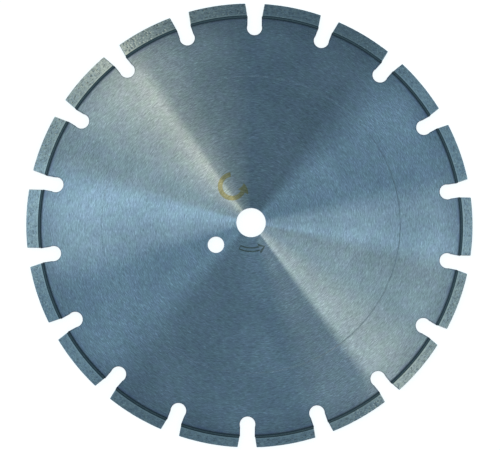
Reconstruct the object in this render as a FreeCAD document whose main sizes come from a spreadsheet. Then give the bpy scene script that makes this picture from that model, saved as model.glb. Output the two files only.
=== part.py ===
import FreeCAD, Part
import math
import os
import Sketcher

# Segmented diamond cutting disc: a ground steel core with a rim of welded abrasive segments.
# Millimetres. The disc lies flat: +Z is its axis, and the origin is the bore's centre at mid-thickness.
# An open slot parts each segment from the next, and a plain hole beside the bore takes a drive pin.
# The rim runs a little off the bore's centre, so the segments are taller on one side than on the other.

# Driving sizes: name, value and what it measures
DRIVING_SIZES = (
    ("discDiameter", 305.0, "over the segments"),
    ("segmentCount", 18, "segments, with a slot between each two"),
    ("rimOffset", 1.4, "centre of the rim from the bore's centre"),
    ("rimOffsetAngle", 125.0, "degrees from the first slot to the side the rim stands out on"),
    ("segmentHeight", 8.0, "mean radial height of the segments"),
    ("segmentGap", 10.3, "clear gap between the feet of two segments"),
    ("segmentThickness", 3.0, "cutting width"),
    ("coreThickness", 2.2, "sheet of the core"),
    ("boreDiameter", 20.0, "arbor hole"),
    ("pinHoleDiameter", 11.1, "drive pin hole"),
    ("pinHoleReach", 28.4, "from the bore's centre to the pin hole's"),
    ("pinHoleAngle", 203.4, "degrees from the first slot to the pin hole"),
    ("slotDepth", 13.4, "from the core's edge to the bottom of a slot"),
    ("slotNeck", 9.9, "width of a slot just outside its round bottom"),
    ("slotUndercut", 0.25, "the round bottom beyond each side of the neck"),
    ("reliefWidth", 1.2, "band of the core sunk beside the weld"),
    ("reliefDepth", 0.1, "how far that band is sunk on each face"),
    ("footHeight", 0.8, "sloped foot of a segment, from weld to full thickness"),
    ("holeEdgeBreak", 0.2, "chamfer at both ends of the bore and the pin hole"),
    ("firstSlotAngle", 8.97, "degrees from +X to the first slot"),
)

# Radius at which the core ends and the segments begin, true to the bore
JOINT = "(Sizes.discDiameter / 2 - Sizes.segmentHeight)"

# Half of the gap between two segments, as an angle, and half the length that leaves for a segment
HALF_GAP = f"asin(Sizes.segmentGap / 2 / {JOINT})"
HALF_LENGTH = f"({JOINT} * sin(180 deg / Sizes.segmentCount - {HALF_GAP}))"

# Half the thickness that core and segment share at the weld
HALF_FOOT = "(Sizes.coreThickness / 2 - Sizes.reliefDepth)"

# How far a cutting outline runs clear of the steel that it trims
CLEARANCE = 2.0

# Sketcher's own names for a sketch's origin and horizontal axis
ORIGIN = (-1, 1)
X_AXIS = -1


def make_sizes(doc):
    sheet = doc.addObject("Spreadsheet::Sheet", "Sizes")
    for row, (name, value, meaning) in enumerate(DRIVING_SIZES, start=1):
        sheet.set(f"A{row}", name)
        sheet.set(f"B{row}", str(value))
        sheet.set(f"C{row}", meaning)
        sheet.setAlias(f"B{row}", name)
    doc.recompute()
    return sheet


def origin_plane(body, role):
    return next(feature for feature in body.Origin.OriginFeatures if feature.Role == role)


def add_sketch(body, name, role):
    sketch = body.newObject("Sketcher::SketchObject", name)
    sketch.AttachmentSupport = [(origin_plane(body, role), "")]
    sketch.MapMode = "FlatFace"
    return sketch


def set_dimension(sketch, name, kind, geometry, formula):
    """Adds a dimension at the size as drawn, then ties it to a formula."""
    index = sketch.addConstraint(Sketcher.Constraint(kind, *geometry))
    sketch.renameConstraint(index, name)
    sketch.setExpression(f"Constraints.{name}", formula)


def join(sketch, *point_pairs):
    for first, second in point_pairs:
        sketch.addConstraint(Sketcher.Constraint("Coincident", *first, *second))


def add_line(sketch, start, end):
    return sketch.addGeometry(Part.LineSegment(FreeCAD.Vector(*start, 0), FreeCAD.Vector(*end, 0)))


def add_circle(sketch, centre_x, radius, name, formula):
    centre = FreeCAD.Vector(centre_x, 0, 0)
    circle = sketch.addGeometry(Part.Circle(centre, FreeCAD.Vector(0, 0, 1), radius))
    set_dimension(sketch, name, "Radius", (circle, radius), formula)
    return circle


def add_arc(sketch, centre_x, radius, start, end, name, formula):
    circle = Part.Circle(FreeCAD.Vector(centre_x, 0, 0), FreeCAD.Vector(0, 0, 1), radius)
    arc = sketch.addGeometry(Part.ArcOfCircle(circle, math.radians(start), math.radians(end)))
    set_dimension(sketch, name, "Radius", (arc, radius), formula)
    return arc


def add_section(sketch, corners):
    """Closed outline in a section right of the axis: each corner has a name, a place and two formulas."""
    places = [place for name, place, formulas in corners]
    lines = [add_line(sketch, start, end) for start, end in zip(places, places[1:] + places[:1])]
    for line, following in zip(lines, lines[1:] + lines[:1]):
        join(sketch, ((line, 2), (following, 1)))
    for line, (name, place, formulas) in zip(lines, corners):
        for axis, distance, formula in zip("XY", place, formulas):
            set_dimension(sketch, name + axis, f"Distance{axis}", (*ORIGIN, line, 1, distance), formula)


def add_pad(body, sketch, name, thickness):
    pad = body.newObject("PartDesign::Pad", name)
    pad.Profile = sketch
    pad.SideType = "Symmetric"
    pad.setExpression("Length", thickness)


def add_through_pocket(body, sketch, name):
    pocket = body.newObject("PartDesign::Pocket", name)
    pocket.Profile = sketch
    pocket.Type = "ThroughAll"
    pocket.SideType = "Symmetric"
    return pocket


def add_mirrored_groove(body, sketch, name):
    """A turned cut about the disc's axis above mid-thickness, and the same cut below."""
    groove = body.newObject("PartDesign::Groove", name)
    groove.Profile = sketch
    groove.ReferenceAxis = (sketch, ["V_Axis"])
    groove.Angle = 360
    mirrored = body.newObject("PartDesign::Mirrored", f"{name}Below")
    mirrored.Originals = [groove]
    mirrored.MirrorPlane = (origin_plane(body, "XY_Plane"), [""])
    body.Tip = mirrored
    return mirrored


def add_core_sheet(body):
    sketch = add_sketch(body, "coreOutline", "XY_Plane")
    edge = add_circle(sketch, 0, 144.5, "jointRadius", JOINT)
    join(sketch, ((edge, 3), ORIGIN))
    add_pad(body, sketch, "coreSheet", "Sizes.coreThickness")


def add_bore(body):
    sketch = add_sketch(body, "boreOutline", "XY_Plane")
    wall = add_circle(sketch, 0, 10, "boreRadius", "Sizes.boreDiameter / 2")
    join(sketch, ((wall, 3), ORIGIN))
    add_through_pocket(body, sketch, "bore")


def add_pin_hole(body):
    sketch = add_sketch(body, "pinHoleOutline", "XY_Plane")
    sketch.setExpression("AttachmentOffset.Rotation.Angle", "Sizes.pinHoleAngle")
    wall = add_circle(sketch, 28, 5.5, "pinHoleRadius", "Sizes.pinHoleDiameter / 2")
    sketch.addConstraint(Sketcher.Constraint("PointOnObject", wall, 3, X_AXIS))
    set_dimension(sketch, "reach", "DistanceX", (*ORIGIN, wall, 3, 28), "Sizes.pinHoleReach")
    add_through_pocket(body, sketch, "pinHole")


# A slot has a round bottom a little wider than its neck, and walls that end at the segments' corners
def add_slots(body):
    sketch = add_sketch(body, "slotOutline", "XY_Plane")
    neck, mouth, cover = (137.5, 4.95), (144.4, 5.15), (146.5, 5.15)
    bottom_radius = "(Sizes.slotNeck / 2 + Sizes.slotUndercut)"
    bottom = add_arc(sketch, 136.3, 5.2, 72, 288, "bottomRadius", bottom_radius)
    upper_wall = add_line(sketch, neck, mouth)
    upper_mouth = add_line(sketch, mouth, cover)
    closing = add_line(sketch, cover, (cover[0], -cover[1]))
    lower_mouth = add_line(sketch, (cover[0], -cover[1]), (mouth[0], -mouth[1]))
    lower_wall = add_line(sketch, (mouth[0], -mouth[1]), (neck[0], -neck[1]))
    join(
        sketch,
        ((bottom, 1), (upper_wall, 1)),
        ((upper_wall, 2), (upper_mouth, 1)),
        ((upper_mouth, 2), (closing, 1)),
        ((closing, 2), (lower_mouth, 1)),
        ((lower_mouth, 2), (lower_wall, 1)),
        ((lower_wall, 2), (bottom, 2)),
    )
    sketch.addConstraint(Sketcher.Constraint("Symmetric", upper_wall, 1, lower_wall, 2, X_AXIS))
    sketch.addConstraint(Sketcher.Constraint("Symmetric", upper_wall, 2, lower_wall, 1, X_AXIS))
    for kind, line in (("Horizontal", upper_mouth), ("Horizontal", lower_mouth), ("Vertical", closing)):
        sketch.addConstraint(Sketcher.Constraint(kind, line))
    bottom_reach = f"{JOINT} - Sizes.slotDepth + {bottom_radius}"
    set_dimension(sketch, "bottomReach", "DistanceX", (*ORIGIN, bottom, 3, 136.3), bottom_reach)
    set_dimension(sketch, "neck", "DistanceY", (lower_wall, 2, upper_wall, 1, 9.9), "Sizes.slotNeck")
    set_dimension(sketch, "mouth", "DistanceY", (lower_wall, 1, upper_wall, 2, 10.3), "Sizes.segmentGap")
    mouth_reach = f"{JOINT} * cos({HALF_GAP})"
    set_dimension(sketch, "mouthReach", "DistanceX", (*ORIGIN, upper_wall, 2, mouth[0]), mouth_reach)
    set_dimension(sketch, "coverReach", "DistanceX", (*ORIGIN, closing, 1, cover[0]), f"{JOINT} + {CLEARANCE}")
    slot = add_through_pocket(body, sketch, "slot")

    pattern = body.newObject("PartDesign::PolarPattern", "slots")
    pattern.Originals = [slot]
    pattern.Axis = (sketch, ["N_Axis"])
    pattern.Angle = 360
    pattern.setExpression("Occurrences", "Sizes.segmentCount")
    body.Tip = pattern


# The band beside the weld, a little below both ground faces
def add_weld_relief(body):
    sketch = add_sketch(body, "reliefSection", "XZ_Plane")
    inner, outer = f"{JOINT} - Sizes.reliefWidth", f"{JOINT} + {CLEARANCE}"
    floor, over = HALF_FOOT, f"{HALF_FOOT} + {CLEARANCE}"
    add_section(
        sketch,
        (
            ("innerFloor", (143.3, 1.0), (inner, floor)),
            ("outerFloor", (146.5, 1.0), (outer, floor)),
            ("outerTop", (146.5, 3.0), (outer, over)),
            ("innerTop", (143.3, 3.0), (inner, over)),
        ),
    )
    return add_mirrored_groove(body, sketch, "weldRelief")


def add_hole_edge_breaks(body, base, sheet):
    radii = (sheet.boreDiameter / 2, sheet.pinHoleDiameter / 2)
    edges = []
    for number, edge in enumerate(base.Shape.Edges, start=1):
        is_hole_edge = edge.isClosed() and any(math.isclose(edge.Curve.Radius, radius) for radius in radii)
        if is_hole_edge:
            edges.append(f"Edge{number}")
    chamfer = body.newObject("PartDesign::Chamfer", "holeEdgeBreaks")
    chamfer.Base = (base, edges)
    chamfer.setExpression("Size", "Sizes.holeEdgeBreak")


def make_core(doc, sheet):
    body = doc.addObject("PartDesign::Body", "steel_core")
    add_core_sheet(body)
    add_bore(body)
    add_pin_hole(body)
    add_slots(body)
    relief = add_weld_relief(body)
    doc.recompute()
    add_hole_edge_breaks(body, relief, sheet)
    body.setExpression("Placement.Rotation.Angle", "Sizes.firstSlotAngle")
    return body


# A segment has parallel ends, a curved foot on the core's edge and its share of the rim's own circle
def add_segment_block(body, place):
    sketch = add_sketch(body, "segmentOutline", "XY_Plane")
    half_length, foot_x, rim_x = 20.0, 143.1, 152.2
    foot = add_arc(sketch, 0, 144.5, -8, 8, "jointRadius", JOINT)
    rim = add_arc(sketch, 1, 152.5, -7.5, 7.5, "rimRadius", "Sizes.discDiameter / 2")
    upper_end = add_line(sketch, (foot_x, half_length), (rim_x, half_length))
    lower_end = add_line(sketch, (rim_x, -half_length), (foot_x, -half_length))
    join(
        sketch,
        ((foot, 3), ORIGIN),
        ((foot, 2), (upper_end, 1)),
        ((upper_end, 2), (rim, 2)),
        ((rim, 1), (lower_end, 1)),
        ((lower_end, 2), (foot, 1)),
    )
    for end in (upper_end, lower_end):
        sketch.addConstraint(Sketcher.Constraint("Horizontal", end))
    set_dimension(sketch, "upperHalf", "DistanceY", (*ORIGIN, upper_end, 1, half_length), HALF_LENGTH)
    set_dimension(sketch, "lowerHalf", "DistanceY", (lower_end, 2, *ORIGIN, half_length), HALF_LENGTH)
    rim_side = f"(Sizes.rimOffsetAngle - {place})"
    for axis, distance, share in (("X", 1, "cos"), ("Y", 0, "sin")):
        formula = f"Sizes.rimOffset * {share}({rim_side} * 1 deg)"
        set_dimension(sketch, f"rimCentre{axis}", f"Distance{axis}", (*ORIGIN, rim, 3, distance), formula)
    add_pad(body, sketch, "segmentBlock", "Sizes.segmentThickness")


# The foot slopes from the thickness of the weld out to the full cutting width
def add_foot_slope(body):
    sketch = add_sketch(body, "footSection", "XZ_Plane")
    weld, full = JOINT, f"{JOINT} + Sizes.footHeight"
    low, side = HALF_FOOT, "Sizes.segmentThickness / 2"
    over, inside = f"{side} + {CLEARANCE}", f"{JOINT} - {CLEARANCE}"
    add_section(
        sketch,
        (
            ("weld", (144.5, 1.0), (weld, low)),
            ("fullWidth", (145.3, 1.5), (full, side)),
            ("above", (145.3, 3.5), (full, over)),
            ("aboveInside", (142.5, 3.5), (inside, over)),
            ("inside", (142.5, 1.0), (inside, low)),
        ),
    )
    add_mirrored_groove(body, sketch, "footSlope")


def make_segment(doc, number):
    body = doc.addObject("PartDesign::Body", f"segment_{number:02d}")
    place = f"{number - 0.5} * 360 / Sizes.segmentCount"
    add_segment_block(body, place)
    add_foot_slope(body)
    body.setExpression("Placement.Rotation.Angle", f"Sizes.firstSlotAngle + {place}")
    return body


def check_model(doc, bodies):
    for item in doc.Objects:
        if "Invalid" in item.State or "Error" in item.State:
            raise RuntimeError(f"{item.Name} failed: {item.State}")
        is_cut = item.TypeId in ("PartDesign::Pocket", "PartDesign::Groove", "PartDesign::Chamfer")
        if is_cut and item.Shape.Volume >= item.BaseFeature.Shape.Volume:
            raise RuntimeError(f"{item.Name} removes nothing")
    for body in bodies:
        shape = body.Shape
        if shape.isNull() or not shape.isValid() or len(shape.Solids) != 1:
            raise RuntimeError(f"{body.Label} is not one sound solid")


def main():
    doc = FreeCAD.newDocument("diamond_cutting_disc")
    sheet = make_sizes(doc)
    bodies = [make_core(doc, sheet)]
    for number in range(1, int(sheet.segmentCount) + 1):
        bodies.append(make_segment(doc, number))
    doc.recompute()
    check_model(doc, bodies)
    os.makedirs("parts", exist_ok=True)
    for body in bodies:
        body.Shape.exportStep(f"parts/{body.Label}.step")
        print(f"{body.Label}: {body.Shape.Volume:.1f} mm3")


main()
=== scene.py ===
import math

import bpy
from mathutils import Matrix, Vector


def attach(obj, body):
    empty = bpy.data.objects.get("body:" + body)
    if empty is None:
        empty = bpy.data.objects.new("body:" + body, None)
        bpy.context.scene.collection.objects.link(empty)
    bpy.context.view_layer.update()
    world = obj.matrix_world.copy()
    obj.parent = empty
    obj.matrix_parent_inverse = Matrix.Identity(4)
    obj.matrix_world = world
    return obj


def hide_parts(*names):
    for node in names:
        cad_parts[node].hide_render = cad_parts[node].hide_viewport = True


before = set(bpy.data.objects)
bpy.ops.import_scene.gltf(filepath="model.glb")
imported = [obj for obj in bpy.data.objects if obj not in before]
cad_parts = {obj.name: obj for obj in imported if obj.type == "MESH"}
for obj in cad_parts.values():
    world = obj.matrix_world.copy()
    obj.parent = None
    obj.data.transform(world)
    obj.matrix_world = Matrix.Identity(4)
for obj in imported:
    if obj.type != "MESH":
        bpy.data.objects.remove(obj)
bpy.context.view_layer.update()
print("frame loaded:", len(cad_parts), "nodes")

# Metres. The disc lies flat with the bore's centre at the origin, and the floor is just under the segments.
disc = {
    "slotCount": 18,
    "firstSlot": math.radians(8.97),
    "jointRadius": 0.1445,  # core's edge, where the segments are welded on
    "rimRadius": 0.1525,
    "rimOffset": 0.0014,  # the rim's circle stands this far off the bore
    "rimSide": math.radians(133.97),
    "endHalf": 0.02,  # from a segment's middle to each of its parallel ends
    "floorHeight": -0.0015,
}
slotStep = 2 * math.pi / disc["slotCount"]
rimCentre = Vector((math.cos(disc["rimSide"]), math.sin(disc["rimSide"]), 0)) * disc["rimOffset"]


# Small tools that every piece uses

def startFresh():
    if bpy.context.object and bpy.context.object.mode != "OBJECT":
        bpy.ops.object.mode_set(mode="OBJECT")
    bpy.ops.object.select_all(action="DESELECT")


def takeUp(piece):
    startFresh()
    piece.select_set(True)
    bpy.context.view_layer.objects.active = piece


def nameIt(name):
    piece = bpy.context.object
    piece.name = name
    piece.data.name = name
    return piece


def applyPlace(piece):
    takeUp(piece)
    bpy.ops.object.transform_apply(location=True, rotation=True, scale=True)


def applyModifier(piece, name, kind, **settings):
    takeUp(piece)
    modifier = piece.modifiers.new(name, kind)
    for setting, value in settings.items():
        setattr(modifier, setting, value)
    bpy.ops.object.modifier_apply(modifier=name)


def pickVertices(piece, wanted):
    # picks the vertices whose place passes the test, and leaves the piece in edit mode
    takeUp(piece)
    bpy.ops.object.mode_set(mode="EDIT")
    bpy.ops.mesh.select_mode(type="VERT")
    bpy.ops.mesh.select_all(action="DESELECT")
    bpy.ops.object.mode_set(mode="OBJECT")
    for vertex in piece.data.vertices:
        vertex.select = wanted(vertex.co)
    bpy.ops.object.mode_set(mode="EDIT")


def sliceAcross(piece, axis, places):
    # cuts flat across the piece at each place along an axis, so that it gets rows of faces
    takeUp(piece)
    bpy.ops.object.mode_set(mode="EDIT")
    for place in places:
        bpy.ops.mesh.select_all(action="SELECT")
        bpy.ops.mesh.bisect(plane_co=Vector(axis) * place, plane_no=axis)
    bpy.ops.object.mode_set(mode="OBJECT")


def evenPlaces(low, high, step):
    count = max(1, round((high - low) / step))
    return [low + (high - low) * number / count for number in range(1, count)]


def copyOf(piece, name):
    twin = piece.copy()
    twin.data = piece.data.copy()
    twin.name = name
    twin.data.name = name
    bpy.context.scene.collection.objects.link(twin)
    return twin


def smoothOver(piece, degrees):
    takeUp(piece)
    bpy.ops.object.shade_smooth_by_angle(angle=math.radians(degrees))


def segmentTurn(number):
    return disc["firstSlot"] + (number - 0.5) * slotStep


# The ground steel core: a thin cylinder with rings inset on both faces, then holes and slots cut through it

coreSheet = {
    "sides": 720,
    "boreSides": 180,
    "pinSides": 120,
    "slotSides": 96,
    "edgeHeight": 0.0010,  # the sunk band beside the weld
    "rings": (  # width, rise
        (0.00108, 0),
        (0.00012, 0.0001),
        (0.0133, 0),
        (0.0277, 0),
        (0.00012, -0.00003),
        (0.00026, 0),
        (0.00012, 0.00003),
        (0.0318, 0),
        (0.030, 0),
        (0.020, 0),
        (0.007, 0),
    ),
    "rolledRing": 0.102,  # radius of the fine line that those insets roll into each face
    "boreRadius": 0.010,
    "pinRadius": 0.00555,
    "pinPlace": (-0.023987, -0.015205),
    "slotBottom": 0.1363,
    "slotRadius": 0.0052,
    "neckHalf": 0.00493,  # half a slot's width at its round end
    "wallHalf": 0.00508,  # between the two, for the shade beside a slot
    "mouthHalf": 0.00515,  # and at the core's edge
    "mouthReach": 0.0081,  # from the centre of the slot's round end to its mouth
    "cutLength": 0.011,
    "cutDepth": 0.01,
    "edgeBreak": 0.00014,
    "breakAngle": math.radians(60),
    "smoothDegrees": 12,
}


def cutThrough(piece, cutter):
    applyModifier(piece, "cut", "BOOLEAN", object=cutter, operation="DIFFERENCE", solver="EXACT")
    bpy.data.objects.remove(cutter)


def joinCopies(cutter, turns):
    # turned copies of a cutter round the disc's axis, joined to one object
    copies = []
    for number, turn in enumerate(turns):
        twin = copyOf(cutter, f"{cutter.name}{number}")
        twin.data.transform(Matrix.Rotation(turn, 4, "Z"))
        copies.append(twin)
    bpy.data.objects.remove(cutter)
    startFresh()
    for twin in copies:
        twin.select_set(True)
    bpy.context.view_layer.objects.active = copies[0]
    bpy.ops.object.join()
    return copies[0]


def makeCore():
    startFresh()
    bpy.ops.mesh.primitive_cylinder_add(
        vertices=coreSheet["sides"], radius=disc["jointRadius"], depth=2 * coreSheet["edgeHeight"]
    )
    core = nameIt("ground_core")
    bpy.ops.object.mode_set(mode="EDIT")
    bpy.ops.mesh.select_mode(type="FACE")
    bpy.ops.mesh.select_all(action="DESELECT")
    bpy.ops.object.mode_set(mode="OBJECT")
    for face in core.data.polygons:
        face.select = abs(face.normal.z) > 0.9  # the two flat sides
    bpy.ops.object.mode_set(mode="EDIT")
    for width, rise in coreSheet["rings"]:
        bpy.ops.mesh.inset(thickness=width, depth=rise)
    bpy.ops.object.mode_set(mode="OBJECT")

    deep, long = coreSheet["cutDepth"], coreSheet["cutLength"]
    bpy.ops.mesh.primitive_cylinder_add(
        vertices=coreSheet["boreSides"], radius=coreSheet["boreRadius"], depth=deep
    )
    cutThrough(core, nameIt("boreCutter"))
    bpy.ops.mesh.primitive_cylinder_add(
        vertices=coreSheet["pinSides"], radius=coreSheet["pinRadius"], depth=deep,
        location=(*coreSheet["pinPlace"], 0),
    )
    pinCutter = nameIt("pinCutter")
    applyPlace(pinCutter)
    cutThrough(core, pinCutter)

    turns = [disc["firstSlot"] + number * slotStep for number in range(disc["slotCount"])]
    bottom = coreSheet["slotBottom"]
    startFresh()
    bpy.ops.mesh.primitive_cylinder_add(
        vertices=coreSheet["slotSides"], radius=coreSheet["slotRadius"], depth=deep, location=(bottom, 0, 0)
    )
    roundCutter = nameIt("roundCutter")
    applyPlace(roundCutter)
    cutThrough(core, joinCopies(roundCutter, turns))

    startFresh()
    bpy.ops.mesh.primitive_cube_add(
        size=1, location=(bottom + long / 2, 0, 0), scale=(long, 2 * coreSheet["neckHalf"], deep)
    )
    wallCutter = nameIt("wallCutter")
    applyPlace(wallCutter)
    pickVertices(wallCutter, lambda place: place.x > bottom + long / 2)
    flare = 1 + (coreSheet["mouthHalf"] / coreSheet["neckHalf"] - 1) * long / coreSheet["mouthReach"]
    bpy.ops.transform.resize(value=(1, flare, 1))
    cutThrough(core, joinCopies(wallCutter, turns))

    applyModifier(
        core, "edgeBreak", "BEVEL", width=coreSheet["edgeBreak"], segments=2,
        limit_method="ANGLE", angle_limit=coreSheet["breakAngle"], use_clamp_overlap=False,
    )
    smoothOver(core, coreSheet["smoothDegrees"])
    return core


core = makeCore()
print("core:", len(core.data.polygons), "faces")


# The diamond segments: one bevelled block sliced into a grid, and for each place a copy that is stretched,
# pitted and turned

segmentBlock = {
    "height": 0.008,
    "halfThickness": 0.0015,
    "footHeight": 0.0008,
    "footHalf": 0.0010,
    "edgeBreak": 0.00022,
    "breakAngle": math.radians(62),
    "margin": 0.0001,  # between the edge break and the first slice
    "gridStep": 0.00032,
    "sliceHalf": 0.0011,  # slices through the thickness
    "sliceStep": 0.0005,
    "keptFoot": 0.0012,  # this much beside the weld and at the rim isn't stretched
    "keptRim": 0.0006,
    "pitsFrom": 0.0002,  # the pits start this far beyond the foot
    "edgePits": 0.3,  # how deep they are at the edges, as a share of those on the faces
    "markerStep": (0, 0.07, 0.011),  # from one segment's pits to the next in the noise
    "lumpSize": 0.0011,
    "lumpLimits": (0.2, 0.8),
    "lumpDepth": 0.00001,
    "pitSize": 0.00036,
    "pitLimits": (0.21, 0.31),
    "pitStretch": 5.5,
    "pitDepth": 0.00018,
    "smoothDegrees": 35,
}


def makeBlock():
    height, half = segmentBlock["height"], segmentBlock["halfThickness"]
    startFresh()
    bpy.ops.mesh.primitive_cube_add(
        size=1, location=(height / 2, 0, 0), scale=(height, 2 * disc["endHalf"], 2 * half)
    )
    block = nameIt("segmentBlock")
    applyPlace(block)
    sliceAcross(block, (1, 0, 0), [segmentBlock["footHeight"]])
    pickVertices(block, lambda place: place.x < 1e-6)
    bpy.ops.transform.resize(value=(1, 1, segmentBlock["footHalf"] / half))
    applyModifier(
        block, "edgeBreak", "BEVEL", width=segmentBlock["edgeBreak"], segments=2,
        limit_method="ANGLE", angle_limit=segmentBlock["breakAngle"], use_clamp_overlap=False,
    )
    margin = segmentBlock["edgeBreak"] + segmentBlock["margin"]
    step, reach = segmentBlock["gridStep"], segmentBlock["sliceHalf"]
    sliceAcross(block, (1, 0, 0), evenPlaces(segmentBlock["footHeight"], height - margin, step))
    sliceAcross(block, (0, 1, 0), evenPlaces(margin - disc["endHalf"], disc["endHalf"] - margin, step))
    sliceAcross(block, (0, 0, 1), evenPlaces(-reach, reach, segmentBlock["sliceStep"]))
    return block


def stretchToRim(piece, turn):
    # the foot follows the core's edge and the outside follows the rim's own circle
    height = segmentBlock["height"]
    keptFoot, keptRim = segmentBlock["keptFoot"], segmentBlock["keptRim"]
    centre = Matrix.Rotation(-turn, 3, "Z") @ rimCentre
    for vertex in piece.data.vertices:
        x, y, z = vertex.co
        foot = math.sqrt(disc["jointRadius"] ** 2 - y ** 2)
        rim = centre.x + math.sqrt(disc["rimRadius"] ** 2 - (y - centre.y) ** 2)
        if x < keptFoot:
            reach = foot + x
        elif x > height - keptRim:
            reach = rim - (height - x)
        else:
            share = (x - keptFoot) / (height - keptRim - keptFoot)
            reach = foot + keptFoot + share * (rim - foot - keptFoot - keptRim)
        vertex.co.x = reach


def softTexture(name, limits, depth):
    # soft clouds that are 0 below the first limit and 1 above the second
    texture = bpy.data.textures.new(name, "CLOUDS")
    texture.noise_scale = 1
    texture.noise_depth = depth
    texture.use_color_ramp = True
    low, high = texture.color_ramp.elements
    low.position, high.position = limits
    low.color = (0, 0, 0, 1)
    high.color = (1, 1, 1, 1)
    return texture


def pitSegment(piece, number, lumps, pits, marker):
    ground = piece.vertex_groups.new(name="ground")
    start = disc["jointRadius"] + segmentBlock["footHeight"] + segmentBlock["pitsFrom"]
    end = disc["endHalf"] - segmentBlock["margin"]
    for vertex in piece.data.vertices:
        if vertex.co.x > start and abs(vertex.co.y) < end:
            onFace = abs(vertex.normal.z) > 0.99
            ground.add([vertex.index], 1 if onFace else segmentBlock["edgePits"], "REPLACE")
    marker.location = [part * number for part in segmentBlock["markerStep"]]
    marker.scale = (segmentBlock["lumpSize"],) * 3
    bpy.context.view_layer.update()
    applyModifier(
        piece, "lumps", "DISPLACE", texture=lumps, texture_coords="OBJECT", texture_coords_object=marker,
        strength=segmentBlock["lumpDepth"], mid_level=1, vertex_group="ground",
    )
    size = segmentBlock["pitSize"]
    marker.scale = (size, size * segmentBlock["pitStretch"], size)
    bpy.context.view_layer.update()
    applyModifier(
        piece, "pits", "DISPLACE", texture=pits, texture_coords="OBJECT", texture_coords_object=marker,
        strength=segmentBlock["pitDepth"], mid_level=1, vertex_group="ground",
    )
    piece.vertex_groups.clear()


def makeSegments():
    block = makeBlock()
    marker = bpy.data.objects.new("pitPlace", None)
    bpy.context.scene.collection.objects.link(marker)
    lumps = softTexture("sinterLumps", segmentBlock["lumpLimits"], 2)
    pits = softTexture("sinterPits", segmentBlock["pitLimits"], 1)
    made = []
    for number in range(1, disc["slotCount"] + 1):
        turn = segmentTurn(number)
        piece = copyOf(block, f"diamond_segment_{number:02d}")
        stretchToRim(piece, turn)
        pitSegment(piece, number, lumps, pits, marker)
        piece.data.transform(Matrix.Rotation(turn, 4, "Z"))
        smoothOver(piece, segmentBlock["smoothDegrees"])
        made.append(piece)
    bpy.data.objects.remove(block)
    bpy.data.objects.remove(marker)
    return made


segments = makeSegments()
print("segments:", len(segments), "of", len(segments[0].data.polygons), "faces")


# The weld beads: a crowned, rippled strip on each face over the joint of each segment

weldBead = {
    "halfLength": 0.01985,
    "middle": 0.14432,  # mean radius of the weld's middle line
    "swing": 0.0003,  # the line stands this much further out on one side of the disc
    "swingSide": math.radians(215),
    "width": 0.0019,
    "darkHalf": 0.00112,  # the darkened band reaches this far to both sides of the line
    "crown": 0.00009,
    "edgeSink": 0.00002,  # its long edges dip this far into the steel
    "bury": 0.00025,
    "taper": 0.0006,  # it runs out over this length at both ends
    "ripplePitch": 0.0011,
    "rippleDepth": 0.000025,
    "rippleBow": 0.4,  # in widths of the bead
    "rows": 8,
    "gridStep": 0.00024,
    "smoothDegrees": 40,
}


def makeBeadStrip():
    startFresh()
    bpy.ops.mesh.primitive_cube_add(size=1, scale=(1, 2 * weldBead["halfLength"], 1))
    strip = nameIt("beadStrip")
    applyPlace(strip)
    sliceAcross(strip, (1, 0, 0), evenPlaces(-0.5, 0.5, 1 / weldBead["rows"]))
    reach = weldBead["halfLength"]
    sliceAcross(strip, (0, 1, 0), evenPlaces(-reach, reach, weldBead["gridStep"]))
    return strip


def layBead(piece, turn):
    # sets the strip on the joint: its top is crowned and rippled, its bottom is buried in the steel
    width = weldBead["width"]
    middle = weldBead["middle"] + weldBead["swing"] * math.cos(turn - weldBead["swingSide"])
    slope = (segmentBlock["halfThickness"] - segmentBlock["footHalf"]) / segmentBlock["footHeight"]
    for vertex in piece.data.vertices:
        across, along, side = vertex.co
        radius = middle + across * width
        pastJoint = min(segmentBlock["footHeight"], max(0.0, radius - disc["jointRadius"]))
        steel = segmentBlock["footHalf"] + slope * pastJoint
        height = steel - weldBead["bury"]
        if side > 0:
            crowning = 1 - (2 * across) ** 2
            taper = min(1.0, (weldBead["halfLength"] - abs(along)) / weldBead["taper"])
            curved = along - weldBead["rippleBow"] * width * (2 * across) ** 2
            wave = math.sin(2 * math.pi * curved / weldBead["ripplePitch"])
            rise = (weldBead["crown"] + weldBead["rippleDepth"] * wave) * crowning * taper
            height = steel - weldBead["edgeSink"] + rise
        vertex.co = (math.sqrt(radius ** 2 - along ** 2), along, height)
    piece.data.transform(Matrix.Rotation(turn, 4, "Z"))


def makeBeads():
    strip = makeBeadStrip()
    made = []
    for number in range(1, disc["slotCount"] + 1):
        piece = copyOf(strip, f"weld_bead_{number:02d}")
        layBead(piece, segmentTurn(number))
        under = copyOf(piece, "underBead")
        under.data.transform(Matrix.Scale(-1, 4, (0, 0, 1)))
        under.data.flip_normals()
        startFresh()
        under.select_set(True)
        piece.select_set(True)
        bpy.context.view_layer.objects.active = piece
        bpy.ops.object.join()
        smoothOver(piece, weldBead["smoothDegrees"])
        made.append(piece)
    bpy.data.objects.remove(strip)
    return made


beads = makeBeads()
print("weld beads:", len(beads), "of", len(beads[0].data.polygons), "faces")


# Node groups that the materials share

def newGroup(name, inputs, outputs):
    group = bpy.data.node_groups.new(name, "ShaderNodeTree")
    for socketName, kind, value in inputs:
        socket = group.interface.new_socket(socketName, in_out="INPUT", socket_type=kind)
        if value is not None:
            socket.default_value = value
    for socketName, kind in outputs:
        group.interface.new_socket(socketName, in_out="OUTPUT", socket_type=kind)
    return group, group.nodes.new("NodeGroupInput").outputs, group.nodes.new("NodeGroupOutput").inputs


def plug(tree, socket, value):
    if isinstance(value, bpy.types.NodeSocket):
        tree.links.new(value, socket)
    elif value is not None:
        socket.default_value = value


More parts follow.
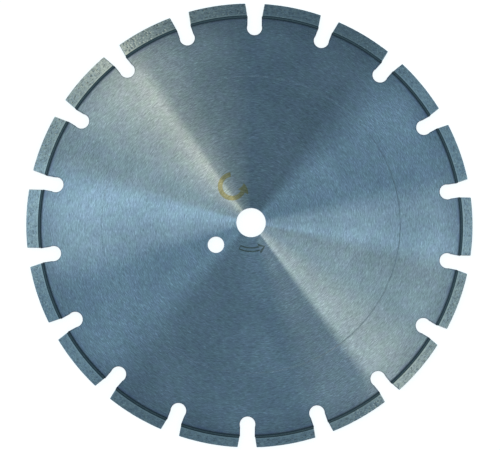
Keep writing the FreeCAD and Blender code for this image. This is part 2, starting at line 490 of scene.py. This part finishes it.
def math1(tree, operation, first, second=None, clamp=False):
    node = tree.nodes.new("ShaderNodeMath")
    node.operation = operation
    node.use_clamp = clamp
    plug(tree, node.inputs[0], first)
    plug(tree, node.inputs[1], second)
    return node.outputs[0]


def plus(tree, first, second):
    return math1(tree, "ADD", first, second)


def minus(tree, first, second, clamp=False):
    return math1(tree, "SUBTRACT", first, second, clamp=clamp)


def times(tree, first, second):
    return math1(tree, "MULTIPLY", first, second)


def apart(tree, first, second):
    return math1(tree, "ABSOLUTE", minus(tree, first, second))


def vector1(tree, operation, first, second=None, output=0):
    node = tree.nodes.new("ShaderNodeVectorMath")
    node.operation = operation
    plug(tree, node.inputs[0], first)
    if operation == "SCALE":
        plug(tree, node.inputs["Scale"], second)
    else:
        plug(tree, node.inputs[1], second)
    return node.outputs[output]


def fade(tree, value, low, high, lowResult=0.0, highResult=1.0):
    # a smooth step from lowResult at low to highResult at high
    node = tree.nodes.new("ShaderNodeMapRange")
    node.interpolation_type = "SMOOTHSTEP"
    for socket, setting in zip(node.inputs, (value, low, high, lowResult, highResult)):
        plug(tree, socket, setting)
    return node.outputs[0]


def spread(tree, noise, reach, lowResult=0.0, highResult=1.0):
    # stretches the middle of a noise, this far to both sides of 0.5, over the results
    return fade(tree, noise, 0.5 - reach, 0.5 + reach, lowResult, highResult)


def blendColour(tree, factor, first, second, kind="MIX"):
    node = tree.nodes.new("ShaderNodeMix")
    node.data_type = "RGBA"
    node.blend_type = kind
    plug(tree, node.inputs["Factor"], factor)
    plug(tree, node.inputs[6], first)
    plug(tree, node.inputs[7], second)
    return node.outputs[2]


def noise1(tree, vector, scale, detail=2.0, roughness=0.5):
    node = tree.nodes.new("ShaderNodeTexNoise")
    plug(tree, node.inputs["Vector"], vector)
    node.inputs["Scale"].default_value = scale
    node.inputs["Detail"].default_value = detail
    node.inputs["Roughness"].default_value = roughness
    return node.outputs["Fac"]


def useGroup(tree, group, **values):
    node = tree.nodes.new("ShaderNodeGroup")
    node.node_tree = group
    for name, value in values.items():
        plug(tree, node.inputs[name], value)
    return node.outputs


def makePlaceGroup():
    # where a point is on the disc: its radius, height and side, and its distance to the weld and to a slot
    group, given, result = newGroup(
        "discPlace",
        (("Place", "NodeSocketVector", None),),
        (
            ("Radius", "NodeSocketFloat"),
            ("Outward", "NodeSocketVector"),
            ("Height", "NodeSocketFloat"),
            ("Side", "NodeSocketFloat"),
            ("WeldGap", "NodeSocketFloat"),
            ("SlotGap", "NodeSocketFloat"),
        ),
    )
    split = group.nodes.new("ShaderNodeSeparateXYZ")
    group.links.new(given["Place"], split.inputs[0])
    flat = vector1(group, "MULTIPLY", given["Place"], (1, 1, 0))
    radius = vector1(group, "LENGTH", flat, output=1)
    plug(group, result["Radius"], radius)
    outward = vector1(group, "NORMALIZE", flat)
    plug(group, result["Outward"], outward)
    side, swing = weldBead["swingSide"], weldBead["swing"]
    swingWay = (swing * math.cos(side), swing * math.sin(side), 0)
    swung = vector1(group, "DOT_PRODUCT", outward, swingWay, output=1)
    plug(group, result["WeldGap"], minus(group, minus(group, radius, weldBead["middle"]), swung))
    plug(group, result["Height"], math1(group, "ABSOLUTE", split.outputs[2]))
    plug(group, result["Side"], math1(group, "GREATER_THAN", split.outputs[2], 0.0))

    angle = math1(group, "ARCTAN2", split.outputs[1], split.outputs[0])
    steps = math1(group, "DIVIDE", minus(group, angle, disc["firstSlot"]), slotStep)
    off = times(group, minus(group, steps, math1(group, "ROUND", steps)), slotStep)
    along = times(group, radius, math1(group, "COSINE", off))
    across = times(group, radius, math1(group, "SINE", math1(group, "ABSOLUTE", off)))
    pair = group.nodes.new("ShaderNodeCombineXYZ")
    group.links.new(minus(group, along, coreSheet["slotBottom"]), pair.inputs[0])
    group.links.new(across, pair.inputs[1])
    fromBottom = vector1(group, "LENGTH", pair.outputs[0], output=1)
    bottomGap = minus(group, fromBottom, coreSheet["slotRadius"])
    wallGap = minus(group, across, coreSheet["wallHalf"])
    beyond = math1(group, "GREATER_THAN", along, coreSheet["slotBottom"])
    gap = group.nodes.new("ShaderNodeMix")
    plug(group, gap.inputs["Factor"], beyond)
    plug(group, gap.inputs[2], bottomGap)
    plug(group, gap.inputs[3], wallGap)
    plug(group, result["SlotGap"], gap.outputs[0])
    return group


def wrapRound(tree, outward, radius, turns, lines, shift=0.0):
    # coordinates that run round the bore: a noise on them makes marks along circles, with no seam, and with
    # turns to the metre along the circle and lines to the metre across it
    lift = tree.nodes.new("ShaderNodeCombineXYZ")
    tree.links.new(plus(tree, times(tree, radius, lines), shift), lift.inputs[2])
    along = vector1(tree, "SCALE", outward, times(tree, radius, turns))
    return vector1(tree, "ADD", along, lift.outputs[0])


grinding = {
    "grainRoughness": 0.72,
    "streakTurns": 40.0,  # turns to the metre along the circle, and lines to the metre across it
    "streakLines": 1900.0,
    "fleckTurns": 400.0,
    "fleckLines": 3000.0,
    "swayTurns": 1.5,  # times the grain's own turns
    "swayShift": 91.0,
    "sway": 0.06,
    "sideShift": 37.0,  # moves the marks on the upper side, so that the two sides differ
}


def makeGrainGroup():
    # circular grinding marks: short grains, a few long streaks, spots of painted glint, and a direction
    # across the grooves that sways a little off the radius
    group, given, result = newGroup(
        "circularGrain",
        (
            ("Radius", "NodeSocketFloat", 0.1),
            ("Outward", "NodeSocketVector", None),
            ("Side", "NodeSocketFloat", 1.0),
            ("Turns", "NodeSocketFloat", 300.0),
            ("Lines", "NodeSocketFloat", 4000.0),
        ),
        (
            ("Grains", "NodeSocketFloat"),
            ("Streaks", "NodeSocketFloat"),
            ("PaintedGlints", "NodeSocketFloat"),
            ("Sway", "NodeSocketVector"),
        ),
    )
    outward, radius = given["Outward"], given["Radius"]
    shift = times(group, given["Side"], grinding["sideShift"])
    wrapped = wrapRound(group, outward, radius, given["Turns"], given["Lines"], shift)
    grains = noise1(group, wrapped, 1.0, detail=2.0, roughness=grinding["grainRoughness"])
    plug(group, result["Grains"], grains)
    wrapped = wrapRound(group, outward, radius, grinding["streakTurns"], grinding["streakLines"], shift)
    plug(group, result["Streaks"], noise1(group, wrapped, 1.0, detail=2.0))
    wrapped = wrapRound(group, outward, radius, grinding["fleckTurns"], grinding["fleckLines"], shift)
    plug(group, result["PaintedGlints"], noise1(group, wrapped, 1.0, detail=0.0))
    swayTurns = times(group, given["Turns"], grinding["swayTurns"])
    wrapped = wrapRound(group, outward, radius, swayTurns, given["Lines"], grinding["swayShift"])
    sway = times(group, minus(group, noise1(group, wrapped, 1.0, detail=1.0), 0.5), grinding["sway"])
    around = vector1(group, "CROSS_PRODUCT", outward, (0, 0, 1))
    turned = vector1(group, "ADD", outward, vector1(group, "SCALE", around, sway))
    plug(group, result["Sway"], vector1(group, "NORMALIZE", turned))
    return group


def makeGrooveGroup():
    # the grooves that the grinding wheel left: their flanks lean outwards, some more than others, and never
    # along the circle
    group, given, result = newGroup(
        "grooveNormal",
        (
            ("Radius", "NodeSocketFloat", 0.1),
            ("Outward", "NodeSocketVector", None),
            ("Normal", "NodeSocketVector", None),
            ("Turns", "NodeSocketFloat", 600.0),
            ("Lines", "NodeSocketFloat", 7000.0),
            ("Slope", "NodeSocketFloat", 0.5),
            ("Lean", "NodeSocketFloat", 0.3),
        ),
        (("Normal", "NodeSocketVector"),),
    )
    places = wrapRound(group, given["Outward"], given["Radius"], given["Turns"], given["Lines"])
    groove = noise1(group, places, 1.0, detail=1.0)
    tilt = plus(group, given["Lean"], times(group, minus(group, groove, 0.5), given["Slope"]))
    leaning = vector1(group, "ADD", given["Normal"], vector1(group, "SCALE", given["Outward"], tilt))
    plug(group, result["Normal"], vector1(group, "NORMALIZE", leaning))
    return group


placeGroup = makePlaceGroup()
grainGroup = makeGrainGroup()
grooveGroup = makeGrooveGroup()
print("node groups built")


# Materials

def newMaterial(name):
    material = bpy.data.materials.new(name)
    material.use_nodes = True
    tree = material.node_tree
    shader = tree.nodes["Principled BSDF"]
    place = tree.nodes.new("ShaderNodeTexCoord").outputs["Object"]
    return material, tree, shader, place


def addBump(tree, shader, height, distance, strength, normal=None):
    bump = tree.nodes.new("ShaderNodeBump")
    bump.inputs["Strength"].default_value = strength
    bump.inputs["Distance"].default_value = distance
    plug(tree, bump.inputs["Height"], height)
    plug(tree, bump.inputs["Normal"], normal)
    tree.links.new(bump.outputs["Normal"], shader.inputs["Normal"])


def grooved(tree, where, **values):
    # the normal of the grinding grooves at a place on the disc
    flatNormal = tree.nodes.new("ShaderNodeNewGeometry").outputs["Normal"]
    return useGroup(
        tree, grooveGroup, Radius=where["Radius"], Outward=where["Outward"], Normal=flatNormal, **values
    )["Normal"]


def grained(tree, where, **values):
    # the grinding marks at a place on the disc
    return useGroup(
        tree, grainGroup, Radius=where["Radius"], Outward=where["Outward"], Side=where["Side"], **values
    )


def towards(tree, where, side):
    # 1 on the side of the disc that a direction points at, and -1 on the other
    return vector1(tree, "DOT_PRODUCT", where["Outward"], (math.cos(side), math.sin(side), 0), output=1)


groundSteel = {  # a "Reach" is how far from 0.5, both ways, a noise gets to its full effect
    "lightSteel": (0.47, 0.52, 0.55, 1),
    "darkSteel": (0.38, 0.43, 0.46, 1),
    "patchScale": 22.0,
    "patchReach": 0.2,
    "greenCast": (0.99, 1.015, 0.985, 1),
    "blueCast": (1.01, 0.985, 1.02, 1),
    "castScale": 130.0,
    "castReach": 0.15,
    "markBrown": (0.36, 0.32, 0.16, 1),
    "brownShare": 0.9,
    "markDark": (0.16, 0.17, 0.12, 1),
    "darkShare": 0.8,
    "markSoft": 0.00015,  # half the blur at a printed edge
    "grainTurns": 300.0,
    "grainLines": 4200.0,
    "grainReach": 0.25,
    "grainDepth": 0.38,
    "streakReach": 0.2,
    "streakDepth": 0.02,
    # painted glints: bright spots added to the steel's colour
    "fleckLimits": (0.62, 0.74),
    "fleckLight": 0.34,
    "edgeDark": (0.07, 0.09, 0.11, 1),
    "slotBand": (0.0002, 0.0009),  # distance from a slot over which the painted shade at its edge fades
    "slotShade": 0.45,
    "rimTint": (0.82, 0.83, 0.84, 1),
    "rimBand": (0.126, 0.1425),  # radius over which the rim tint comes in
    "heatBlue": (0.27, 0.29, 0.40, 1),
    "hazeBand": (-0.0045, -0.0012),  # distance from the weld's line, less than 0 towards the bore
    "hazeScale": 120.0,
    "hazeReach": 0.15,
    "hazeShare": 0.75,
    "heatDark": (0.17, 0.20, 0.24, 1),
    "heatBand": (-0.0022, -0.0013),
    "heatShare": 0.7,
    "weldDark": (0.075, 0.105, 0.12, 1),
    "weldSoft": 0.00012,
    "loweredBand": (0.00100, 0.00109),  # height over which the painted shade on a broken edge fades
    "ringHalf": (0.00035, 0.00055),  # distance from the rolled ring's line over which its look fades
    "ringClear": (0.0004, 0.0006),  # and over which the painted edge shade starts again
    "groundSide": math.radians(132),  # where the rolled ring is ground away
    "groundFade": (0.88, 0.97),
    "grimeSide": math.radians(345),  # where painted shade darkens the rolled ring
    "grimeFade": (0.5, 0.8),
    "grime": 0.36,
    "roughness": (0.12, 0.08),  # in the dark grains and in the light ones
    "roughReach": 0.3,
    "rimRougher": 0.15,
    "heatRougher": 0.3,
    "lineRougher": 0.12,  # in scratches and in the rolled ring
    "anisotropy": 0.95,
    "grooveSlope": 0.4,
    "grooveLean": 0.3,
}


# Two plain printed arrows: a golden one, three quarters of a circle, and a dark hollow one below the bore

rotationArrow = {
    "centre": (-0.0130, 0.0250),
    "radius": 0.0082,
    "halfWidth": 0.0016,
    "middle": math.radians(215),  # the arc's middle, and how far it goes to both sides
    "halfSweep": math.radians(118),
    "headLength": math.radians(42),
    "headHalf": 0.0042,
}
hollowArrow = {
    "centre": (0.0, 0.0),
    "radius": 0.0186,
    "halfWidth": 0.0017,
    "middle": math.radians(-94),
    "halfSweep": math.radians(21),
    "headLength": math.radians(14),
    "headHalf": 0.0038,
}
hollowInside = {
    "centre": (0.0, 0.0),
    "radius": 0.0186,
    "halfWidth": 0.0007,
    "middle": math.radians(-93),
    "halfSweep": math.radians(20.5),
    "headLength": math.radians(9),
    "headHalf": 0.0017,
}


def arrowMask(tree, place, arrow):
    # 1 on a curved arrow: an arc round its centre, and a pointed head at the end of the arc
    moved = vector1(tree, "SUBTRACT", place, (*arrow["centre"], 0))
    flat = vector1(tree, "MULTIPLY", moved, (1, 1, 0))
    ahead, aside = math.cos(arrow["middle"]), math.sin(arrow["middle"])
    along = vector1(tree, "DOT_PRODUCT", flat, (ahead, aside, 0), output=1)
    across = vector1(tree, "DOT_PRODUCT", flat, (-aside, ahead, 0), output=1)
    turn = math1(tree, "ARCTAN2", across, along)
    far = vector1(tree, "LENGTH", flat, output=1)
    offLine = apart(tree, far, arrow["radius"])
    soft = groundSteel["markSoft"]
    softTurn = soft / arrow["radius"]
    onBand = fade(tree, offLine, arrow["halfWidth"] - soft, arrow["halfWidth"] + soft, 1, 0)
    end = arrow["halfSweep"]
    pastStart = fade(tree, turn, -end - softTurn, -end + softTurn)
    pastEnd = fade(tree, turn, end - softTurn, end + softTurn)
    band = times(tree, onBand, minus(tree, pastStart, pastEnd))
    past = math1(tree, "DIVIDE", minus(tree, turn, end), arrow["headLength"])
    share = minus(tree, 1.0, past, clamp=True)
    reach = minus(tree, offLine, times(tree, share, arrow["headHalf"]))
    head = times(tree, fade(tree, reach, -soft, soft, 1, 0), pastEnd)
    return math1(tree, "MAXIMUM", band, head)


scratches = {
    "lines": (  # the way it stands off the bore in degrees, how far, and from and to along it
        (68, 0.071, -0.060, 0.020),
        (152, 0.052, -0.090, -0.035),
        (21, -0.088, 0.010, 0.055),
        (107, -0.046, -0.030, 0.048),
        (330, 0.098, -0.050, 0.012),
        (248, 0.033, 0.040, 0.095),
        (190, -0.112, -0.020, 0.030),
    ),
    "halfWidth": (0.00004, 0.00022),  # distance from its middle over which a scratch fades
    "endLength": 0.012,
    "wander": 0.004,
    "wanderScale": 60.0,
}


def scratchMask(tree, place):
    # 1 on a few hair-fine straight scratches, which wander a little and thin out at both ends
    bend = minus(tree, noise1(tree, place, scratches["wanderScale"], detail=0.0), 0.5)
    wander = times(tree, bend, scratches["wander"])
    length = scratches["endLength"]
    mask = None
    for degrees, distance, start, end in scratches["lines"]:
        turn = math.radians(degrees)
        away = vector1(tree, "DOT_PRODUCT", place, (math.cos(turn), math.sin(turn), 0), output=1)
        along = vector1(tree, "DOT_PRODUCT", place, (-math.sin(turn), math.cos(turn), 0), output=1)
        off = apart(tree, plus(tree, away, wander), distance)
        thin = fade(tree, off, *scratches["halfWidth"], 1, 0)
        started = fade(tree, along, start, start + length)
        notOver = fade(tree, along, end - length, end, 1, 0)
        line = times(tree, thin, times(tree, started, notOver))
        mask = line if mask is None else math1(tree, "MAXIMUM", mask, line)
    return mask


def bareSteel(tree, place):
    # the steel's own colour, in broad patches and with a faint cast
    patch = spread(tree, noise1(tree, place, groundSteel["patchScale"]), groundSteel["patchReach"])
    colour = blendColour(tree, patch, groundSteel["darkSteel"], groundSteel["lightSteel"])
    cast = spread(tree, noise1(tree, place, groundSteel["castScale"], detail=1.0), groundSteel["castReach"])
    cast = blendColour(tree, cast, groundSteel["greenCast"], groundSteel["blueCast"])
    return blendColour(tree, 1.0, colour, cast, "MULTIPLY")


def printArrows(tree, place, where, colour):
    # the arrows are on the upper side only
    golden = times(tree, arrowMask(tree, place, rotationArrow), where["Side"])
    golden = times(tree, golden, groundSteel["brownShare"])
    colour = blendColour(tree, golden, colour, groundSteel["markBrown"])
    whole, inside = arrowMask(tree, place, hollowArrow), arrowMask(tree, place, hollowInside)
    outline = times(tree, minus(tree, whole, inside, clamp=True), where["Side"])
    outline = times(tree, outline, groundSteel["darkShare"])
    return blendColour(tree, outline, colour, groundSteel["markDark"])


def grindingTone(tree, grain):
    # how much lighter or darker the grinding marks make the steel, with painted glints that brighten it in
    # spots
    depth, streak = groundSteel["grainDepth"], groundSteel["streakDepth"]
    grains = spread(tree, grain["Grains"], groundSteel["grainReach"], 1 - depth, 1 + depth)
    streaks = spread(tree, grain["Streaks"], groundSteel["streakReach"], -streak, streak)
    flecks = fade(tree, grain["PaintedGlints"], *groundSteel["fleckLimits"], 0, groundSteel["fleckLight"])
    return plus(tree, plus(tree, grains, streaks), flecks)


def heatTint(tree, place, where, heat, colour):
    # the scorched steel beside the weld: a blue haze in patches, and a darker line
    patch = noise1(tree, place, groundSteel["hazeScale"])
    patch = spread(tree, patch, groundSteel["hazeReach"], 0, groundSteel["hazeShare"])
    haze = times(tree, fade(tree, where["WeldGap"], *groundSteel["hazeBand"]), patch)
    colour = blendColour(tree, haze, colour, groundSteel["heatBlue"])
    return blendColour(tree, times(tree, heat, groundSteel["heatShare"]), colour, groundSteel["heatDark"])


def darkPlaces(tree, where, fromRing, ring, colour):
    # the weld's band, painted shade on what lies lower than the face, such as its broken edges, and painted
    # shade in the rolled ring on one side
    reach, soft = weldBead["darkHalf"], groundSteel["weldSoft"]
    weld = fade(tree, where["WeldGap"], -reach - soft, -reach + soft)
    colour = blendColour(tree, weld, colour, groundSteel["weldDark"])
    # painted shade on the broken edges and other places lower than the face
    lowered = fade(tree, where["Height"], *groundSteel["loweredBand"], 1, 0)
    edge = times(tree, lowered, minus(tree, 1.0, weld))
    edge = times(tree, edge, fade(tree, fromRing, *groundSteel["ringClear"]))
    colour = blendColour(tree, edge, colour, groundSteel["edgeDark"])
    # painted shade in the rolled ring, on one side of the disc
    ringShadeShare = towards(tree, where, groundSteel["grimeSide"])
    ringShadeShare = fade(tree, ringShadeShare, *groundSteel["grimeFade"], 0, groundSteel["grime"])
    return blendColour(tree, times(tree, ringShadeShare, ring), colour, groundSteel["edgeDark"])


def makeGroundSteel():
    material, tree, shader, place = newMaterial("groundSteel")
    where = useGroup(tree, placeGroup, Place=place)
    grain = grained(tree, where, Turns=groundSteel["grainTurns"], Lines=groundSteel["grainLines"])
    fromRing = apart(tree, where["Radius"], coreSheet["rolledRing"])
    kept = fade(tree, towards(tree, where, groundSteel["groundSide"]), *groundSteel["groundFade"], 1, 0)
    ring = times(tree, fade(tree, fromRing, *groundSteel["ringHalf"], 1, 0), kept)
    worn = fade(tree, where["Radius"], *groundSteel["rimBand"])
    heat = fade(tree, where["WeldGap"], *groundSteel["heatBand"])

    colour = printArrows(tree, place, where, bareSteel(tree, place))
    colour = blendColour(tree, 1.0, colour, grindingTone(tree, grain), "MULTIPLY")
    # painted shade along the edges of the slots
    nearSlot = fade(tree, where["SlotGap"], *groundSteel["slotBand"], groundSteel["slotShade"], 0)
    colour = blendColour(tree, nearSlot, colour, groundSteel["edgeDark"])
    colour = blendColour(tree, worn, colour, groundSteel["rimTint"], "MULTIPLY")
    colour = heatTint(tree, place, where, heat, colour)
    colour = darkPlaces(tree, where, fromRing, ring, colour)
    tree.links.new(colour, shader.inputs["Base Color"])

    shader.inputs["Metallic"].default_value = 1
    shader.inputs["Anisotropic"].default_value = groundSteel["anisotropy"]
    rough = spread(tree, grain["Grains"], groundSteel["roughReach"], *groundSteel["roughness"])
    rough = plus(tree, rough, times(tree, worn, groundSteel["rimRougher"]))
    rough = plus(tree, rough, times(tree, heat, groundSteel["heatRougher"]))
    lines = math1(tree, "MAXIMUM", ring, scratchMask(tree, place))
    rough = plus(tree, rough, times(tree, lines, groundSteel["lineRougher"]))
    tree.links.new(rough, shader.inputs["Roughness"])
    tree.links.new(grain["Sway"], shader.inputs["Tangent"])
    lean = times(tree, minus(tree, 1.0, ring), groundSteel["grooveLean"])
    normal = grooved(tree, where, Slope=groundSteel["grooveSlope"], Lean=lean)
    tree.links.new(normal, shader.inputs["Normal"])
    return material


sintered = {
    "light": (0.49, 0.53, 0.51, 1),
    "dark": (0.41, 0.45, 0.47, 1),
    "patchScale": 420.0,
    "patchReach": 0.15,
    "grainTurns": 500.0,
    "grainLines": 2000.0,
    "grainReach": 0.25,
    "grainDepth": 0.3,
    # the dark of the pits is painted shade
    "pit": (0.10, 0.11, 0.10, 1),
    "markTurns": 400.0,  # painted pit shade as dark marks, for pits too shallow for the mesh
    "markLines": 1900.0,
    "markShift": 5.0,
    "markLimits": (0.34, 0.41),
    "markShare": 0.8,
    "markReach": 0.3,
    "markLight": 0.5,  # as much of a mark is left in the lightest patches
    "pittedSide": math.radians(130),  # the painted pit shade is strongest here and on the other side, and weakest between
    "pittedFade": (0.4, 0.95),
    "fewPits": 0.4,
    "pitBand": (0.00132, 0.00145),  # height over which the painted shade in a pit fades
    "pitsFrom": (0.1456, 0.1458),  # radius over which it comes in, past the foot's slope
    # a painted highlight along each segment's foot, beside the weld's band
    "footLight": (0.60, 0.64, 0.60, 1),
    "footBand": (0.0012, 0.0004),  # distance from the weld's band over which the painted highlight along the foot fades
    "footShare": 0.6,
    "weldInset": 0.0002,  # the weld's band is this much narrower on a segment than on the core
    "weldSoft": 0.0001,
    "roughness": (0.09, 0.18),
    "roughReach": 0.3,
    "anisotropy": 0.9,
    "grooveSlope": 0.4,
    "grooveLean": 0.33,
    "bumpDepth": 0.00002,
    "bumpStrength": 0.4,
}


def sinteredPits(tree, where, patch, colour):
    # painted shade in the pits: dark marks for shallow ones, and on what lies lower than the face, such as
    # the bottoms of those in the mesh
    wrapped = wrapRound(
        tree, where["Outward"], where["Radius"],
        sintered["markTurns"], sintered["markLines"], sintered["markShift"],
    )
    marks = noise1(tree, wrapped, 1.0, detail=1.0)
    marks = fade(tree, marks, *sintered["markLimits"], sintered["markShare"], 0)
    marks = times(tree, marks, spread(tree, patch, sintered["markReach"], 1.0, sintered["markLight"]))
    pitShadeLevel = math1(tree, "ABSOLUTE", towards(tree, where, sintered["pittedSide"]))
    pitShadeLevel = fade(tree, pitShadeLevel, *sintered["pittedFade"], sintered["fewPits"], 1)
    colour = blendColour(tree, times(tree, marks, pitShadeLevel), colour, sintered["pit"])
    deep = fade(tree, where["Height"], *sintered["pitBand"], pitShadeLevel, 0)
    inside = fade(tree, where["Radius"], *sintered["pitsFrom"])
    return blendColour(tree, times(tree, deep, inside), colour, sintered["pit"])


def makeSintered():
    material, tree, shader, place = newMaterial("sinteredSegment")
    where = useGroup(tree, placeGroup, Place=place)
    grain = grained(tree, where, Turns=sintered["grainTurns"], Lines=sintered["grainLines"])
    patch = spread(tree, noise1(tree, place, sintered["patchScale"], detail=3.0), sintered["patchReach"])
    colour = blendColour(tree, patch, sintered["dark"], sintered["light"])
    depth = sintered["grainDepth"]
    tone = spread(tree, grain["Grains"], sintered["grainReach"], 1 - depth, 1 + depth)
    colour = blendColour(tree, 1.0, colour, tone, "MULTIPLY")
    colour = sinteredPits(tree, where, patch, colour)
    reach, soft = weldBead["darkHalf"] - sintered["weldInset"], sintered["weldSoft"]
    # painted highlight along the segment's foot
    start, end = sintered["footBand"]
    foot = fade(tree, where["WeldGap"], reach + start, reach + end)
    colour = blendColour(tree, times(tree, foot, sintered["footShare"]), colour, sintered["footLight"])
    weld = fade(tree, where["WeldGap"], reach + soft, reach - soft)
    colour = blendColour(tree, weld, colour, groundSteel["weldDark"])
    tree.links.new(colour, shader.inputs["Base Color"])
    shader.inputs["Metallic"].default_value = 1
    shader.inputs["Anisotropic"].default_value = sintered["anisotropy"]
    rough = spread(tree, grain["Grains"], sintered["roughReach"], *sintered["roughness"])
    tree.links.new(rough, shader.inputs["Roughness"])
    tree.links.new(grain["Sway"], shader.inputs["Tangent"])
    normal = grooved(tree, where, Slope=sintered["grooveSlope"], Lean=sintered["grooveLean"])
    addBump(tree, shader, grain["Grains"], sintered["bumpDepth"], sintered["bumpStrength"], normal)
    return material


weldMetal = {
    "dark": (0.055, 0.08, 0.09, 1),
    # the lighter middle is a painted highlight along the bead's crown
    "middle": (0.13, 0.17, 0.18, 1),
    "middleHalf": (0.0002, 0.0006),  # distance from the weld's line over which the painted highlight on the crown fades
    "patchScale": 900.0,
    "patchReach": 0.2,
    "patchDark": 0.5,  # as much of the painted crown highlight is left in the dark patches
    "roughness": (0.32, 0.46),
    "bumpDepth": 0.00003,
    "bumpStrength": 0.4,
}


def makeWeldMetal():
    material, tree, shader, place = newMaterial("weldMetal")
    where = useGroup(tree, placeGroup, Place=place)
    patch = noise1(tree, place, weldMetal["patchScale"], detail=3.0)
    # painted highlight along the middle of the bead's crown
    middle = fade(tree, math1(tree, "ABSOLUTE", where["WeldGap"]), *weldMetal["middleHalf"], 1, 0)
    middle = times(tree, middle, spread(tree, patch, weldMetal["patchReach"], weldMetal["patchDark"], 1))
    colour = blendColour(tree, middle, weldMetal["dark"], weldMetal["middle"])
    tree.links.new(colour, shader.inputs["Base Color"])
    shader.inputs["Metallic"].default_value = 1
    rough = spread(tree, patch, weldMetal["patchReach"], *weldMetal["roughness"])
    tree.links.new(rough, shader.inputs["Roughness"])
    addBump(tree, shader, patch, weldMetal["bumpDepth"], weldMetal["bumpStrength"])
    return material


def dress(piece, material, slotName, *nodes):
    piece.data.materials.clear()
    piece.data.materials.append(material)
    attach(piece, "root")
    if nodes:
        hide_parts(*nodes)


steel = makeGroundSteel()
sinter = makeSintered()
weldLook = makeWeldMetal()
dress(core, steel, "ground_steel", "steel_core")
for number, piece in enumerate(segments, start=1):
    dress(piece, sinter, "sintered_segment", f"segment_{number:02d}")
for piece in beads:
    dress(piece, weldLook, "ground_steel")
print("materials set")


# Floor, light and camera

floorLook = {
    "size": 6.0,
    "colour": (0.80, 0.80, 0.80, 1),
    "roughness": 0.9,
    "shownLight": 0.76,  # what the camera sees on top of the lit floor, so that it comes out white
}


def makeFloor():
    startFresh()
    bpy.ops.mesh.primitive_plane_add(size=floorLook["size"], location=(0, 0, disc["floorHeight"]))
    floor = nameIt("studio_floor")
    material, tree, shader = newMaterial("floorWhite")[:3]
    shader.inputs["Base Color"].default_value = floorLook["colour"]
    shader.inputs["Roughness"].default_value = floorLook["roughness"]
    shader.inputs["Specular IOR Level"].default_value = 0
    path = tree.nodes.new("ShaderNodeLightPath")
    seen = math1(tree, "ADD", path.outputs["Is Camera Ray"], path.outputs["Is Glossy Ray"], clamp=True)
    shown = times(tree, seen, floorLook["shownLight"])
    shader.inputs["Emission Color"].default_value = (1, 1, 1, 1)
    tree.links.new(shown, shader.inputs["Emission Strength"])
    floor.data.materials.append(material)


viewpoint = {
    "location": (-0.00572, -0.08324, 0.78416),
    "turn": (5.9453, -0.3626, -0.0188),  # degrees
    "lens": 82.967,
    "sensor": 36,  # millimetres, as the lens
    "nearest": 0.01,
}


# The studio round the disc: soft panels of light that reach from wall to ceiling and blend into each other.
# Two strip lights give the bright edges, blue sky comes in from both sides, and dark cards stand between.

lightTint = {
    "warm": (0.95, 1.0, 0.9),
    "pale": (0.85, 1.0, 1.0),
    "cool": (0.75, 1.0, 1.1),
    "sky": (0.7, 1.0, 1.2),
    "blue": (0.63, 1.0, 1.3),
}
studio = {
    "panels": (  # from and to, in degrees from +X, the tint and the level
        (0, 5, "sky", 0.6),
        (15, 40, "blue", 0.41),
        (56, 90, "blue", 0.23),
        (112, 112, "cool", 0.39),
        (123, 123, "pale", 0.57),
        (127, 128, "warm", 1.05),
        (140, 140, "pale", 0.73),
        (154, 161, "cool", 0.6),
        (168, 172, "sky", 0.82),
        (185, 188, "sky", 0.66),
        (200, 222, "blue", 0.42),
        (234, 245, "blue", 0.27),
        (265, 284, "blue", 0.3),
        (295, 305, "sky", 0.38),
        (309, 309, "pale", 0.9),
        (317, 317, "pale", 0.75),
        (330, 336, "cool", 0.6),
        (345, 345, "cool", 0.53),
        (352, 352, "sky", 0.7),
        (360, 360, "sky", 0.6),
    ),
    "wall": (0.95, 0.96, 0.97, 1),  # pale wall near the horizon
    "wallHeight": (0.06, 0.16),  # where it ends, as the sine of the angle above the horizon
    "strength": 1.0,
}


def makeStudio():
    world = bpy.data.worlds.new("studio")
    bpy.context.scene.world = world
    world.use_nodes = True
    tree = world.node_tree
    background = tree.nodes["Background"]
    direction = tree.nodes.new("ShaderNodeTexCoord").outputs["Generated"]
    split = tree.nodes.new("ShaderNodeSeparateXYZ")
    tree.links.new(direction, split.inputs[0])
    toCamera = Vector(viewpoint["location"]).normalized()  # the panels meet where the disc mirrors this
    east = plus(tree, split.outputs[0], toCamera.x)
    north = plus(tree, split.outputs[1], toCamera.y)
    compass = math1(tree, "ARCTAN2", north, east)
    share = math1(tree, "FRACT", math1(tree, "DIVIDE", compass, 2 * math.pi))
    ramp = tree.nodes.new("ShaderNodeValToRGB")
    tree.links.new(share, ramp.inputs[0])
    stops = ramp.color_ramp.elements
    edges = []
    for start, end, tint, level in studio["panels"]:
        light = (*(part * level for part in lightTint[tint]), 1)
        edges += [(start, light), (end, light)] if end > start else [(start, light)]
    while len(stops) < len(edges):
        stops.new(0.5)
    for stop, (degrees, light) in zip(stops, edges):
        stop.position = degrees / 360
        stop.color = light
    low = fade(tree, split.outputs[2], *studio["wallHeight"], 1, 0)
    light = blendColour(tree, low, ramp.outputs["Color"], studio["wall"])
    tree.links.new(light, background.inputs["Color"])
    background.inputs["Strength"].default_value = studio["strength"]


def makeCamera():
    camera = bpy.data.cameras.new("viewpoint")
    camera.lens = viewpoint["lens"]
    camera.sensor_width = viewpoint["sensor"]
    camera.clip_start = viewpoint["nearest"]
    holder = bpy.data.objects.new("viewpoint", camera)
    bpy.context.scene.collection.objects.link(holder)
    holder.location = viewpoint["location"]
    holder.rotation_euler = [math.radians(angle) for angle in viewpoint["turn"]]
    bpy.context.scene.camera = holder


makeFloor()
makeStudio()
makeCamera()
bpy.context.scene.view_settings.view_transform = "Standard"
print("floor, light and camera set")
